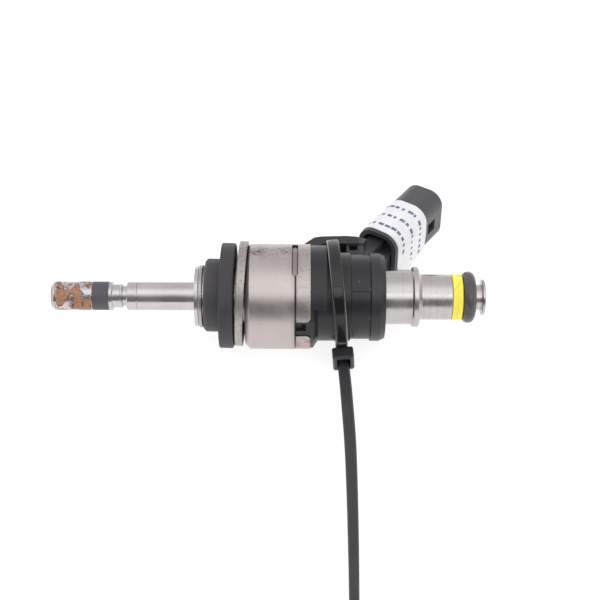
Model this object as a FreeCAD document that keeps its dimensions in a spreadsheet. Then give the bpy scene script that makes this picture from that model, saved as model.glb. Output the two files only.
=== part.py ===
import FreeCAD, Part
import math
import os

# Solenoid gasoline direct-injection fuel injector, in millimetres.
# The injector's axis is X: the spray tip points to -X, the fuel inlet to +X.
# The origin is on the axis, where the nozzle shank meets its flange.
# +Z is up: the injector lies on its housing and on its electrical connector.

os.makedirs("parts", exist_ok=True)
doc = FreeCAD.newDocument("injector")
V = FreeCAD.Vector

# ------------------------------------------------------------------ sheet
SIZES = [
    # nozzle, from the tip to the flange
    ("x_tip", -29.6), ("x_cap", -26.6), ("x_seal_a", -21.18), ("x_seal_b", -17.78),
    ("x_collar_b", -17.02), ("x_groove_b", -15.52), ("x_bead_b", -14.95),
    ("x_neck_b", -14.12), ("x_line", -12.0),
    ("r_nozzle", 2.95), ("r_seal_land", 2.4), ("r_groove", 2.43), ("r_bead", 2.54),
    ("r_neck", 2.14), ("r_shank", 2.97), ("r_shank_bore", 1.9), ("tip_chamfer", 0.55),
    ("r_seat_pocket", 1.75), ("r_spray", 0.1), ("r_spray_circle", 0.75),
    # valve needle, ball and armature
    ("r_ball", 1.385), ("x_ball", -27.05), ("r_needle", 0.85), ("x_needle_end", 17.4),
    ("r_guide_bore", 1.43), ("x_guide_a", -26.4), ("x_guide_b", -24.6),
    ("r_armature", 4.1), ("x_armature_a", 10.6), ("x_armature_b", 15.8),
    ("r_stop", 1.6), ("x_stop_a", 15.8), ("x_stop_b", 17.4),
    # hub that carries the damper and tolerance rings
    ("r_flange", 6.2), ("x_flange", 0.75), ("r_hub", 5.4), ("r_hub_bore", 4.2),
    ("x_hub_bore", 2.2), ("x_hub_end", 12.6), ("root_fillet", 0.9),
    ("r_washer", 6.5), ("x_washer_a", 0.85), ("x_washer_b", 1.66),
    # damper ring
    ("r_damp_bore", 5.78), ("damp_lift", 0.2), ("r_damp_step", 7.55), ("r_damp", 10.88), ("x_damp_a", 1.95),
    ("x_damp_step", 5.24), ("x_damp_b", 8.13), ("damp_chamfer", 0.5), ("damp_tilt", 1.2),
    # tolerance ring
    ("r_tol_bore", 6.2), ("tol_lift", 0.62), ("r_tol", 10.9), ("r_tol_lip", 10.15), ("x_tol_a", 8.6),
    ("x_tol_web", 9.35), ("x_tol_b", 10.3), ("tol_tilt", 3.0),
    # housing shell
    ("x_shell_a", 10.4), ("x_shell_floor", 11.5), ("x_shell_line", 20.6),
    ("x_shell_b", 23.65), ("r_shell", 10.85), ("r_shell_bore", 9.3),
    ("shell_chamfer", 0.95), ("line_depth", 0.12), ("line_width", 0.22),
    ("window_width", 3.66), ("tab_round", 0.95), ("x_slot", 20.5), ("slot_half", 0.56), ("slot_depth", 0.45),
    # magnetic circuit
    ("x_nonmag_b", 15.2), ("x_pole", 15.93), ("r_bobbin", 8.9), ("r_bobbin_in", 5.4),
    ("r_bobbin_wall", 6.0), ("x_bobbin_a", 11.6), ("x_bobbin_b", 20.1), ("bobbin_rim", 0.6),
    ("r_coil", 8.5), ("x_cover_a", 20.25), ("x_cover_b", 21.7),
    # inlet tube
    ("r_tube_bore", 2.5), ("r_pole", 5.4), ("x_pole_b", 24.0), ("r_tube_a", 5.64),
    ("x_tube_a", 44.5), ("r_ring", 6.25), ("x_ring_b", 45.95), ("ring_round", 0.3),
    ("r_tube_b", 4.67), ("x_tube_b", 52.75), ("r_inlet_neck", 2.62), ("x_neck_end", 58.95),
    ("r_neck_bore", 1.35), ("x_bore_end", 51.8), ("r_disc", 3.7), ("x_disc_b", 59.55),
    ("tube_fillet", 0.5),
    # seals at the inlet
    ("r_backup", 4.85), ("x_backup_a", 52.8), ("x_backup_b", 54.8),
    ("oring_section", 1.36), ("r_oring", 3.98), ("x_oring", 56.2),
    # filter, adjusting tube, return spring
    ("r_filter", 2.3), ("x_filter_a", 38.0), ("x_filter_b", 51.0), ("filter_rim", 1.2),
    ("r_filter_mesh", 1.7), ("r_adjust_in", 1.1), ("x_adjust_a", 26.4), ("x_adjust_b", 33.0),
    ("r_spring", 1.85), ("spring_wire", 0.3), ("spring_pitch", 1.45), ("x_spring_a", 17.75),
    ("spring_len", 8.3),
    # overmould barrel
    ("x_mould_a", 21.7), ("x_front_b", 24.2), ("x_front_c", 25.2), ("x_front_pad", 27.0),
    ("r_front", 10.6), ("r_barrel", 9.12), ("x_panel_a", 31.8), ("x_panel_b", 35.9),
    ("r_panel", 8.72), ("x_mould_b", 38.85), ("mould_chamfer", 1.1), ("pad_from", -15.0),
    ("pad_to", 158.0),
    # arm over the strap tunnel, neck and plug connector
    ("arm_x_a", 22.2), ("arm_x_b", 35.7), ("arm_in", 11.9), ("arm_out", 14.3),
    ("arm_half", 4.75), ("con_x", 28.6), ("con_angle", 56.0), ("con_drop", 10.0),
    ("neck_from", 7.5), ("neck_to", 20.5), ("core_x0", -3.2), ("slab_x0", -0.8),
    ("neck_x1", 2.7), ("neck_low", -3.3), ("core_high", 1.2), ("slab_high", 3.3),
    ("shroud_w", 9.2), ("shroud_tall", 12.0), ("shroud_round", 3.3), ("shroud_from", 16.8),
    ("shroud_to", 36.9), ("shroud_wall", 1.0), ("rim_depth", 2.4), ("socket_floor", 24.8),
    ("notch_len", 3.0), ("notch_w", 2.8),
    ("terminal_w", 1.5), ("terminal_t", 0.64), ("terminal_gap", 5.5), ("terminal_tip", 33.2),
    ("terminal_root", 18.6), ("lead_w", 1.0),
    # label
    ("label_from", 17.75), ("label_len", 12.0), ("label_gap", 0.03), ("label_t", 0.15),
    # cable tie
    ("tie_in", 10.07), ("tie_out", 11.08), ("tie_half", 1.24), ("tie_x", 29.15), ("tie_rise", 0.74),
    ("tie_lean", 5.4), ("head_w", 4.4), ("head_h", 3.0), ("head_len", 4.5), ("head_back", -8.0),
    ("head_up", -6.32), ("strap_up", -9.3), ("tail_w", 2.42), ("tail_t", 1.05), ("tail_drop", 1.2),
]
sheet = doc.addObject("Spreadsheet::Sheet", "Sizes")
S = {}
for n, (alias, number) in enumerate(SIZES):
    sheet.set("A%d" % (n + 1), alias)
    sheet.set("B%d" % (n + 1), str(number))
    sheet.setAlias("B%d" % (n + 1), alias)
    S[alias] = float(number)
doc.recompute()


def split(term):
    """'a + b - 0.3' as signed words."""
    words = term.replace("-", "+ -").split("+")
    return [w.strip() for w in words if w.strip()]


def val(term):
    if not isinstance(term, str):
        return float(term)
    total = 0.0
    for word in split(term):
        sign = 1.0
        if word.startswith("-"):
            sign, word = -1.0, word[1:].strip()
        total += sign * (S[word] if word in S else float(word))
    return total


def expr(term):
    out = ""
    for word in split(term):
        minus = word.startswith("-")
        if minus:
            word = word[1:].strip()
        if word in S:
            out += (" - " if minus else " + ") + "Sizes." + word
        else:
            out += (" - " if minus else " + ") + word
    out = out.strip()
    return out[2:] if out.startswith("+ ") else out


def new_body(label):
    body = doc.addObject("PartDesign::Body", label)
    body.Label = label
    return body


def plane(body, role):
    for feature in body.Origin.OriginFeatures:
        if feature.Role == role:
            return feature
    raise RuntimeError(role)


def outline(body, name, points, role="XZ_Plane", offset=None):
    """A closed sketch of straight lines whose corners are bound to the sheet."""
    sketch = body.newObject("Sketcher::SketchObject", name)
    sketch.AttachmentSupport = [(plane(body, role), "")]
    sketch.MapMode = "FlatFace"
    if offset is not None:
        sketch.AttachmentOffset = offset
    count = len(points)
    xy = [V(val(a), val(b), 0) for a, b in points]
    for i in range(count):
        sketch.addGeometry(Part.LineSegment(xy[i], xy[(i + 1) % count]), False)
    import Sketcher
    for i in range(count):
        sketch.addConstraint(Sketcher.Constraint("Coincident", i, 2, (i + 1) % count, 1))
    for i, (a, b) in enumerate(points):
        k = sketch.addConstraint(Sketcher.Constraint("DistanceX", -1, 1, i, 1, xy[i].x))
        if isinstance(a, str):
            sketch.setExpression("Constraints[%d]" % k, expr(a))
        k = sketch.addConstraint(Sketcher.Constraint("DistanceY", -1, 1, i, 1, xy[i].y))
        if isinstance(b, str):
            sketch.setExpression("Constraints[%d]" % k, expr(b))
    return sketch


def turned(label, points, cut=False, body=None, name="Turn"):
    """A solid of revolution about the body's own X axis."""
    if body is None:
        body = new_body(label)
    sketch = outline(body, name + "Profile", points)
    kind = "PartDesign::Groove" if cut else "PartDesign::Revolution"
    feature = body.newObject(kind, name)
    feature.Profile = sketch
    feature.ReferenceAxis = (sketch, ["H_Axis"])
    feature.Angle = 360.0
    body.Tip = feature
    return body


def primitive(body, kind, name, placement, **sizes):
    """An additive or subtractive primitive, placed from the body's origin."""
    feature = body.newObject("PartDesign::" + kind, name)
    feature.AttachmentSupport = [(plane(body, "XY_Plane"), "")]
    feature.MapMode = "FlatFace"
    feature.AttachmentOffset = placement
    for key, term in sizes.items():
        if isinstance(term, str):
            feature.setExpression(key, expr(term))
        else:
            setattr(feature, key, term)
    body.Tip = feature
    return feature


def rot(axis, degrees):
    return FreeCAD.Rotation(axis, degrees)


X_AXIS, Y_AXIS, Z_AXIS = V(1, 0, 0), V(0, 1, 0), V(0, 0, 1)
TO_X = rot(Y_AXIS, 90.0)      # a primitive's Z height turned along +X
bodies = []

# ------------------------------------------------------------------ nozzle
# The seat cap closes the tip: a conical seat for the ball and six spray holes.
cap = turned("valve_seat", [
    ("x_tip + 0.25", 0), ("x_tip", "r_spray_circle + 0.6"), ("x_tip", "r_nozzle - tip_chamfer"),
    ("x_tip + tip_chamfer", "r_nozzle"), ("x_cap", "r_nozzle"), ("x_cap", "r_seat_pocket"),
    ("x_ball + 0.1", "r_seat_pocket"), ("x_ball - 1.15", "0.9"), ("x_ball - 1.75", "0")])
for k in range(6):
    a = math.radians(60 * k + 15)
    at = V(S["x_tip"] - 0.4, 0.95 * S["r_spray_circle"] * 1.35 * math.cos(a),
           0.95 * S["r_spray_circle"] * 1.35 * math.sin(a))
    aim = V(1.0, -0.42 * math.cos(a), -0.42 * math.sin(a))
    primitive(cap, "SubtractiveCylinder", "SprayHole%d" % k,
              FreeCAD.Placement(at, FreeCAD.Rotation(Z_AXIS, aim)), Radius="r_spray", Height=2.6)
bodies.append(cap)

nozzle = turned("nozzle_body", [
    ("x_cap", "r_nozzle"), ("x_seal_a", "r_nozzle"), ("x_seal_a", "r_seal_land"),
    ("x_seal_b", "r_seal_land"), ("x_seal_b", "r_nozzle"), ("x_collar_b - 0.15", "r_nozzle"),
    ("x_collar_b", "r_nozzle - 0.15"), ("x_collar_b", "r_groove"), ("x_groove_b", "r_groove"),
    ("x_groove_b + 0.15", "r_bead"), ("x_bead_b - 0.15", "r_bead"), ("x_bead_b", "r_neck"),
    ("x_neck_b", "r_neck"), ("x_neck_b", "r_shank - 0.15"), ("x_neck_b + 0.2", "r_shank"),
    ("x_line - 0.1", "r_shank"), ("x_line", "r_shank - 0.12"), ("x_line + 0.1", "r_shank"),
    ("0", "r_shank"), ("0", "r_flange"), ("x_flange", "r_flange"), ("x_flange", "r_hub"),
    ("x_hub_end", "r_hub"), ("x_hub_end", "r_hub_bore"), ("x_hub_bore", "r_hub_bore"),
    ("x_hub_bore - 1.2", "r_shank_bore"), ("x_guide_a", "r_shank_bore"),
    ("x_cap", "r_shank_bore")])
bodies.append(nozzle)

bodies.append(turned("needle_guide", [
    ("x_guide_a", "r_guide_bore"), ("x_guide_a", "r_shank_bore"),
    ("x_guide_b", "r_shank_bore"), ("x_guide_b", "r_guide_bore")]))
guide = bodies[-1]
# four fuel passages through the guide
for k in range(4):
    a = math.radians(90 * k)
    primitive(guide, "SubtractiveCylinder", "Passage%d" % k,
              FreeCAD.Placement(V(S["x_guide_a"] - 0.3, 1.43 * math.cos(a), 1.43 * math.sin(a)), TO_X),
              Radius=0.36, Height=3.0)

bodies.append(turned("combustion_seal", [
    ("x_seal_a + 0.03", "r_seal_land"), ("x_seal_a + 0.03", "r_nozzle - 0.08"),
    ("x_seal_a + 0.15", "r_nozzle + 0.01"), ("x_seal_b - 0.15", "r_nozzle + 0.01"),
    ("x_seal_b - 0.03", "r_nozzle - 0.08"), ("x_seal_b - 0.03", "r_seal_land")]))

bodies.append(turned("retaining_washer", [
    ("x_washer_a", "r_hub"), ("x_washer_a", "r_washer - 0.15"), ("x_washer_a + 0.15", "r_washer"),
    ("x_washer_b - 0.15", "r_washer"), ("x_washer_b", "r_washer - 0.15"), ("x_washer_b", "r_hub")]))

# ------------------------------------------------------------------ moving valve group
needle = turned("valve_needle", [
    ("x_ball + 1.1", 0), ("x_ball + 1.1", "r_needle"), ("x_needle_end", "r_needle"),
    ("x_needle_end", 0)])
bodies.append(needle)

ball = new_body("needle_ball")
primitive(ball, "AdditiveSphere", "Ball", FreeCAD.Placement(V(S["x_ball"], 0, 0), rot(Z_AXIS, 0)),
          Radius="r_ball")
primitive(ball, "SubtractiveCylinder", "WeldFlat",
          FreeCAD.Placement(V(S["x_ball"] + 1.1, 0, 0), TO_X), Radius="r_ball", Height=1.0)
bodies.append(ball)

armature = turned("armature", [
    ("x_armature_a", "r_needle"), ("x_armature_a", "r_armature - 0.4"),
    ("x_armature_a + 0.4", "r_armature"), ("x_armature_b", "r_armature"),
    ("x_armature_b", "r_needle")])
for k in range(4):
    a = math.radians(90 * k + 45)
    primitive(armature, "SubtractiveCylinder", "FuelHole%d" % k,
              FreeCAD.Placement(V(S["x_armature_a"] - 0.5, 2.6 * math.cos(a), 2.6 * math.sin(a)), TO_X),
              Radius=0.5, Height=7.0)
bodies.append(armature)
bodies.append(turned("needle_stop_sleeve", [
    ("x_stop_a", "r_needle"), ("x_stop_a", "r_stop"), ("x_stop_b", "r_stop"),
    ("x_stop_b", "r_needle")]))

# ------------------------------------------------------------------ loose rings on the hub
UP = V(0, math.sin(math.radians(50)), math.cos(math.radians(50)))
LOOK = V(0, -math.cos(math.radians(50)), math.sin(math.radians(50)))


def tilted(body, x_mid, degrees, lift):
    """Lean the ring about the direction LOOK, so that its UP side moves to +X, and set it off centre."""
    centre = V(x_mid, 0, 0) + UP * lift
    turn = rot(LOOK, -degrees)
    if turn.multVec(UP).x < 0:
        turn = rot(LOOK, degrees)
    body.Placement = FreeCAD.Placement(centre, turn)


damp_mid = 0.5 * (S["x_damp_a"] + S["x_damp_b"])
damper = turned("damper_ring", [
    (S["x_damp_a"] - damp_mid, "r_damp_bore"), (S["x_damp_a"] - damp_mid, "r_damp_step - damp_chamfer"),
    (S["x_damp_a"] - damp_mid + 0.5, "r_damp_step"), (S["x_damp_step"] - damp_mid, "r_damp_step"),
    (S["x_damp_step"] - damp_mid, "r_damp - 0.15"), (S["x_damp_step"] - damp_mid + 0.15, "r_damp"),
    (S["x_damp_b"] - damp_mid - 0.3, "r_damp"), (S["x_damp_b"] - damp_mid, "r_damp - 0.3"),
    (S["x_damp_b"] - damp_mid, "r_damp_bore")])
tilted(damper, damp_mid, S["damp_tilt"], S["damp_lift"])
bodies.append(damper)

tol_mid = 0.5 * (S["x_tol_a"] + S["x_tol_b"])
tolerance = turned("tolerance_ring", [
    (S["x_tol_a"] - tol_mid, "r_tol_bore"), (S["x_tol_a"] - tol_mid, "r_tol - 0.25"),
    (S["x_tol_a"] - tol_mid + 0.25, "r_tol - 0.05"), (S["x_tol_b"] - tol_mid, "r_tol"),
    (S["x_tol_b"] - tol_mid, "r_tol_lip"), (S["x_tol_web"] - tol_mid, "r_tol_lip - 0.25"),
    (S["x_tol_web"] - tol_mid, "r_tol_bore")])
tilted(tolerance, tol_mid, S["tol_tilt"], S["tol_lift"])
bodies.append(tolerance)

# ------------------------------------------------------------------ housing shell
shell = turned("housing_shell", [
    ("x_shell_a", "r_hub"), ("x_shell_a", "r_shell - shell_chamfer"),
    ("x_shell_a + shell_chamfer", "r_shell"), ("x_shell_line - line_width", "r_shell"),
    ("x_shell_line", "r_shell - line_depth"), ("x_shell_line + line_width", "r_shell"),
    ("x_shell_b", "r_shell"), ("x_shell_b", "r_shell_bore"), ("x_shell_floor", "r_shell_bore"),
    ("x_shell_floor", "r_hub")])


def around(direction_deg):
    """Unit vector in the YZ plane; 0 is LOOK and 90 is UP."""
    a = math.radians(direction_deg)
    return V(0, LOOK.y * math.cos(a) + UP.y * math.sin(a), LOOK.z * math.cos(a) + UP.z * math.sin(a))


def cross_box(body, kind, name, x_mid, length, width, direction_deg, r_from, r_to):
    """A box that runs along X, with its height along a radius."""
    out = around(direction_deg)
    side = out.cross(X_AXIS)
    turn = FreeCAD.Rotation(X_AXIS, side, out, "ZXY")
    base = V(x_mid - 0.5 * length, 0, 0) + out * r_from - turn.multVec(V(0, 0.5 * width, 0))
    return primitive(body, kind, name, FreeCAD.Placement(base, turn),
                     Length=length, Width=width, Height=r_to - r_from)


# windows in the rear band, where the overmould shows through, left by the crimp tabs
WINDOWS = (-38.3, -158.3, 128.0)
for k, deg in enumerate(WINDOWS):
    out = around(deg)
    side = out.cross(X_AXIS)
    turn = FreeCAD.Rotation(X_AXIS, side, out, "ZXY")
    flare = []
    for n in range(7):
        a = math.radians(15.0 * n)
        flare.append(("x_shell_b - tab_round + %.4f" % (S["tab_round"] * math.sin(a)),
                      0.5 * S["window_width"] + S["tab_round"] * (1 - math.cos(a))))
    upper = [(S["x_shell_line"] + 0.05, 0.5 * S["window_width"])] + flare + [
        ("x_shell_b + 0.8", flare[-1][1])]
    profile = upper + [(a, -b) for a, b in upper[::-1]]
    doc.recompute()
    before = shell.Shape.Volume
    window_sketch = outline(shell, "WindowProfile%d" % k, profile, role="XY_Plane",
                            offset=FreeCAD.Placement(out * 8.0, turn))
    window = shell.newObject("PartDesign::Pocket", "Window%d" % k)
    window.Profile = window_sketch
    window.Reversed = True
    window.Length = 5.0
    shell.Tip = window
    doc.recompute()
    print("window removed", round(before - shell.Shape.Volume, 2))
# shallow slots with round ends, punched along the line of the band
for k, (low_deg, high_deg) in enumerate(((25.5, 73.5), (-154.5, -106.5))):
    slot_sketch = outline(shell, "SlotProfile%d" % k, [
        ("x_slot - slot_half", "r_shell - slot_depth"), ("x_slot - slot_half", "r_shell + 0.6"),
        ("x_slot + slot_half", "r_shell + 0.6"), ("x_slot + slot_half", "r_shell - slot_depth")],
        offset=FreeCAD.Placement(V(0, 0, 0), rot(X_AXIS, 40.0 - high_deg)))
    slot = shell.newObject("PartDesign::Groove", "Slot%d" % k)
    slot.Profile = slot_sketch
    slot.ReferenceAxis = (slot_sketch, ["H_Axis"])
    slot.Angle = high_deg - low_deg
    shell.Tip = slot
    for j, deg in enumerate((low_deg, high_deg)):
        out = around(deg)
        primitive(shell, "SubtractiveCylinder", "SlotEnd%d%d" % (k, j),
                  FreeCAD.Placement(V(S["x_slot"], 0, 0) + out * (S["r_shell"] - S["slot_depth"]),
                                    FreeCAD.Rotation(Z_AXIS, out)),
                  Radius="slot_half", Height=1.5)
bodies.append(shell)

# ------------------------------------------------------------------ magnetic circuit
bodies.append(turned("non_magnetic_ring", [
    ("x_hub_end", "r_hub_bore"), ("x_hub_end", "r_hub"), ("x_nonmag_b", "r_hub"),
    ("x_nonmag_b", "r_hub_bore")]))

bodies.append(turned("coil_bobbin", [
    ("x_bobbin_a", "r_bobbin_in"), ("x_bobbin_a", "r_bobbin"),
    ("x_bobbin_a + bobbin_rim", "r_bobbin"), ("x_bobbin_a + bobbin_rim", "r_bobbin_wall"),
    ("x_bobbin_b - bobbin_rim", "r_bobbin_wall"), ("x_bobbin_b - bobbin_rim", "r_bobbin"),
    ("x_bobbin_b", "r_bobbin"), ("x_bobbin_b", "r_bobbin_in")]))
bodies.append(turned("coil_winding", [
    ("x_bobbin_a + bobbin_rim", "r_bobbin_wall"), ("x_bobbin_a + bobbin_rim", "r_coil"),
    ("x_bobbin_b - bobbin_rim", "r_coil"), ("x_bobbin_b - bobbin_rim", "r_bobbin_wall")]))
cover = turned("magnetic_cover_ring", [
    ("x_cover_a", "r_pole"), ("x_cover_a", "r_shell_bore"), ("x_cover_b", "r_shell_bore"),
    ("x_cover_b", "r_pole")])
cross_box(cover, "SubtractiveBox", "LeadSlot", S["x_cover_a"] + 0.7, 3.0, 4.6, 140.0, 6.2, 10.5)
bodies.append(cover)

# ------------------------------------------------------------------ fuel inlet
inlet = turned("inlet_tube", [
    ("x_pole", "r_tube_bore"), ("x_pole", "r_hub_bore"), ("x_nonmag_b", "r_hub_bore"),
    ("x_nonmag_b", "r_pole"), ("x_pole_b", "r_pole"), ("x_pole_b", "r_tube_a"),
    ("x_tube_a", "r_tube_a"), ("x_tube_a", "r_ring - ring_round"),
    ("x_tube_a + ring_round", "r_ring"), ("x_ring_b - ring_round", "r_ring"),
    ("x_ring_b", "r_ring - ring_round"), ("x_ring_b", "r_tube_b + tube_fillet"),
    ("x_ring_b + tube_fillet", "r_tube_b"), ("x_tube_b - 0.15", "r_tube_b"),
    ("x_tube_b", "r_tube_b - 0.15"), ("x_tube_b", "r_inlet_neck"), ("x_neck_end", "r_inlet_neck"),
    ("x_neck_end", "r_disc - 0.1"), ("x_neck_end + 0.1", "r_disc"), ("x_disc_b - 0.15", "r_disc"),
    ("x_disc_b", "r_disc - 0.15"), ("x_disc_b", "r_neck_bore + 0.3"),
    ("x_disc_b - 0.3", "r_neck_bore"), ("x_bore_end + 1.0", "r_neck_bore"),
    ("x_bore_end", "r_tube_bore")])
bodies.append(inlet)

bodies.append(turned("backup_ring", [
    ("x_backup_a", "r_inlet_neck"), ("x_backup_a", "r_backup - 0.1"),
    ("x_backup_a + 0.1", "r_backup"), ("x_backup_b - 0.1", "r_backup"),
    ("x_backup_b", "r_backup - 0.1"), ("x_backup_b", "r_inlet_neck")]))

oring = new_body("inlet_o_ring")
primitive(oring, "AdditiveTorus", "Ring", FreeCAD.Placement(V(S["x_oring"], 0, 0), TO_X),
          Radius1="r_oring", Radius2="oring_section")
bodies.append(oring)

fil = turned("fuel_filter", [
    ("x_filter_a", "r_filter_mesh - 0.35"), ("x_filter_a", "r_tube_bore"),
    ("x_filter_a + filter_rim", "r_tube_bore"), ("x_filter_a + filter_rim", "r_filter_mesh"),
    ("x_filter_b - 0.4", "r_filter_mesh"), ("x_filter_b", "r_filter_mesh - 0.4"),
    ("x_filter_b", 0), ("x_filter_b - 0.6", 0), ("x_filter_b - 0.6", "r_filter_mesh - 0.35")])
bodies.append(fil)

bodies.append(turned("spring_adjusting_tube", [
    ("x_adjust_a", "r_adjust_in"), ("x_adjust_a", "r_tube_bore"), ("x_adjust_b", "r_tube_bore"),
    ("x_adjust_b", "r_adjust_in")]))

# helical return spring between the stop sleeve and the adjusting tube
spring = new_body("return_spring")
wire = spring.newObject("Sketcher::SketchObject", "Wire")
wire.AttachmentSupport = [(plane(spring, "XZ_Plane"), "")]
wire.MapMode = "FlatFace"
import Sketcher
wire.addGeometry(Part.Circle(V(S["x_spring_a"], S["r_spring"], 0), Z_AXIS, S["spring_wire"]), False)
k = wire.addConstraint(Sketcher.Constraint("DistanceX", -1, 1, 0, 3, S["x_spring_a"]))
wire.setExpression("Constraints[%d]" % k, "Sizes.x_spring_a")
k = wire.addConstraint(Sketcher.Constraint("DistanceY", -1, 1, 0, 3, S["r_spring"]))
wire.setExpression("Constraints[%d]" % k, "Sizes.r_spring")
k = wire.addConstraint(Sketcher.Constraint("Radius", 0, S["spring_wire"]))
wire.setExpression("Constraints[%d]" % k, "Sizes.spring_wire")
coil = spring.newObject("PartDesign::AdditiveHelix", "Coil")
coil.Profile = wire
coil.ReferenceAxis = (wire, ["H_Axis"])
coil.Mode = 0
coil.setExpression("Pitch", "Sizes.spring_pitch")
coil.setExpression("Height", "Sizes.spring_len")
spring.Tip = coil
bodies.append(spring)

# ------------------------------------------------------------------ overmould
mould = turned("overmould", [
    ("x_mould_a", "r_pole"), ("x_mould_a", "r_shell_bore"), ("x_shell_b", "r_shell_bore"),
    ("x_shell_b", "r_front"), ("x_front_b", "r_front"), ("x_front_c", "r_barrel"),
    ("x_panel_a", "r_barrel"), ("x_panel_a + 0.15", "r_panel"), ("x_panel_b - 0.15", "r_panel"),
    ("x_panel_b", "r_barrel"), ("x_mould_b - mould_chamfer", "r_barrel"),
    ("x_mould_b", "r_barrel - 0.55"), ("x_mould_b", "r_tube_a"), ("x_pole_b", "r_tube_a"),
    ("x_pole_b", "r_pole")])

# raised front pad over part of the round
pad_sketch = mould.newObject("Sketcher::SketchObject", "FrontPadProfile")
pad_sketch.AttachmentSupport = [(plane(mould, "YZ_Plane"), "")]
pad_sketch.MapMode = "FlatFace"
p0, p1 = around(S["pad_from"]), around(S["pad_to"])
ang0 = math.atan2(p1.z, p1.y)
ang1 = math.atan2(p0.z, p0.y)
while ang1 < ang0:
    ang1 += 2 * math.pi
r_in, r_out = 6.0, S["r_front"]
pts = [V(r_out * math.cos(ang0), r_out * math.sin(ang0), 0), V(r_out * math.cos(ang1), r_out * math.sin(ang1), 0),
       V(r_in * math.cos(ang1), r_in * math.sin(ang1), 0), V(r_in * math.cos(ang0), r_in * math.sin(ang0), 0)]
pad_sketch.addGeometry(Part.ArcOfCircle(Part.Circle(V(0, 0, 0), Z_AXIS, r_out), ang0, ang1), False)
pad_sketch.addGeometry(Part.LineSegment(pts[1], pts[2]), False)
pad_sketch.addGeometry(Part.ArcOfCircle(Part.Circle(V(0, 0, 0), Z_AXIS, r_in), ang0, ang1), False)
pad_sketch.addGeometry(Part.LineSegment(pts[3], pts[0]), False)
for a, b, c, d in ((0, 2, 1, 1), (1, 2, 2, 2), (2, 1, 3, 1), (3, 2, 0, 1)):
    pad_sketch.addConstraint(Sketcher.Constraint("Coincident", a, b, c, d))
pad_sketch.addConstraint(Sketcher.Constraint("Coincident", 0, 3, -1, 1))
pad_sketch.addConstraint(Sketcher.Constraint("Coincident", 2, 3, -1, 1))
k = pad_sketch.addConstraint(Sketcher.Constraint("Radius", 0, r_out))
pad_sketch.setExpression("Constraints[%d]" % k, "Sizes.r_front")
pad_sketch.AttachmentOffset = FreeCAD.Placement(V(0, 0, S["x_shell_b"]), rot(Z_AXIS, 0))
pad = mould.newObject("PartDesign::Pad", "FrontPad")
pad.Profile = pad_sketch
pad.setExpression("Length", "Sizes.x_front_pad - Sizes.x_shell_b")
mould.Tip = pad

# what fills the three windows of the band
for k, deg in enumerate(WINDOWS):
    cross_box(mould, "AdditiveBox", "WindowFill%d" % k, S["x_shell_line"] + 0.08 + 1.9, 3.8,
              S["window_width"] - 0.04, deg, 9.32, 10.42)
cross_box(mould, "SubtractiveBox", "WindowDent", S["x_shell_line"] + 1.15, 1.9, 1.9, -36.5, 9.75, 12.0)
cross_box(mould, "SubtractiveBox", "WindowHole", S["x_shell_line"] + 1.7, 0.9, 1.1, -36.0, 9.4, 12.0)
# parting rib across the panel
cross_box(mould, "AdditiveBox", "PartingRib", 33.85, 4.05, 0.5, 8.5, 7.8, 9.0)
cross_box(mould, "AdditiveBox", "PartingRibBack", 33.85, 4.05, 0.5, -171.5, 7.8, 9.0)

# connector frame: z along the plug, y upwards, x towards the housing
ca, da = math.radians(S["con_angle"]), math.radians(S["con_drop"])
d = V(math.cos(ca), math.sin(ca) * math.cos(da), -math.sin(ca) * math.sin(da))
xp = V(-math.sin(ca), math.cos(ca) * math.cos(da), -math.cos(ca) * math.sin(da))
yp = d.cross(xp)
CON = FreeCAD.Rotation(xp, yp, d, "ZXY")
ORG = V(S["con_x"], 0, 0)


def con(x, y, z, extra=None):
    turn = CON if extra is None else CON.multiply(extra)
    return FreeCAD.Placement(ORG + xp * x + yp * y + d * z, turn)


# arm that reaches from the front pad to the plug, over the strap tunnel
rho = V(0, math.cos(da), -math.sin(da))
perp = V(0, math.sin(da), math.cos(da))
ARM = FreeCAD.Rotation(X_AXIS, perp.negative(), rho.negative(), "XYZ")
arm_turn = FreeCAD.Rotation(X_AXIS, rho, perp, "ZXY")


def arm_box(kind, name, x0, x1, r0, r1, half, z0=None, z1=None):
    low = -half if z0 is None else z0
    high = half if z1 is None else z1
    base = V(x0, 0, 0) + rho * r0 + perp * low
    return primitive(mould, kind, name, FreeCAD.Placement(base, arm_turn),
                     Length=x1 - x0, Width=r1 - r0, Height=high - low)


arm_box("AdditiveBox", "ArmFoot", S["x_shell_b"] + 0.05, 26.9, 8.0, 13.0, 4.2)
arm_profile = outline(mould, "ArmProfile", [
    ("arm_x_a", 11.15), ("arm_x_a + 0.3", 11.8), ("arm_x_a + 2.3", 13.9), ("arm_x_a + 3.8", "arm_out"),
    ("arm_x_b - 4.4", "arm_out + 0.25"), ("arm_x_b - 2.2", "arm_out"), ("arm_x_b", "arm_out - 0.85"),
    ("arm_x_b - 0.8", "arm_in"), (26.9, "arm_in"), (25.2, "11.15")],
    role="XY_Plane")
arm_profile.AttachmentOffset = FreeCAD.Placement(perp * (-S["arm_half"]), rot(X_AXIS, -S["con_drop"]))
arm = mould.newObject("PartDesign::Pad", "Arm")
arm.Profile = arm_profile
arm.setExpression("Length", "2 * Sizes.arm_half")
mould.Tip = arm
# web that closes the strap tunnel behind the tie, with a small core-out
arm_box("AdditiveBox", "ArmWeb", 31.3, S["arm_x_b"] - 0.9, 8.0, S["arm_in"] + 0.2, S["arm_half"] - 0.35)
arm_box("SubtractiveBox", "WebPocket", 31.9, 33.6, 10.0, 11.75, 4.5, 2.6, 6.0)


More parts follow.
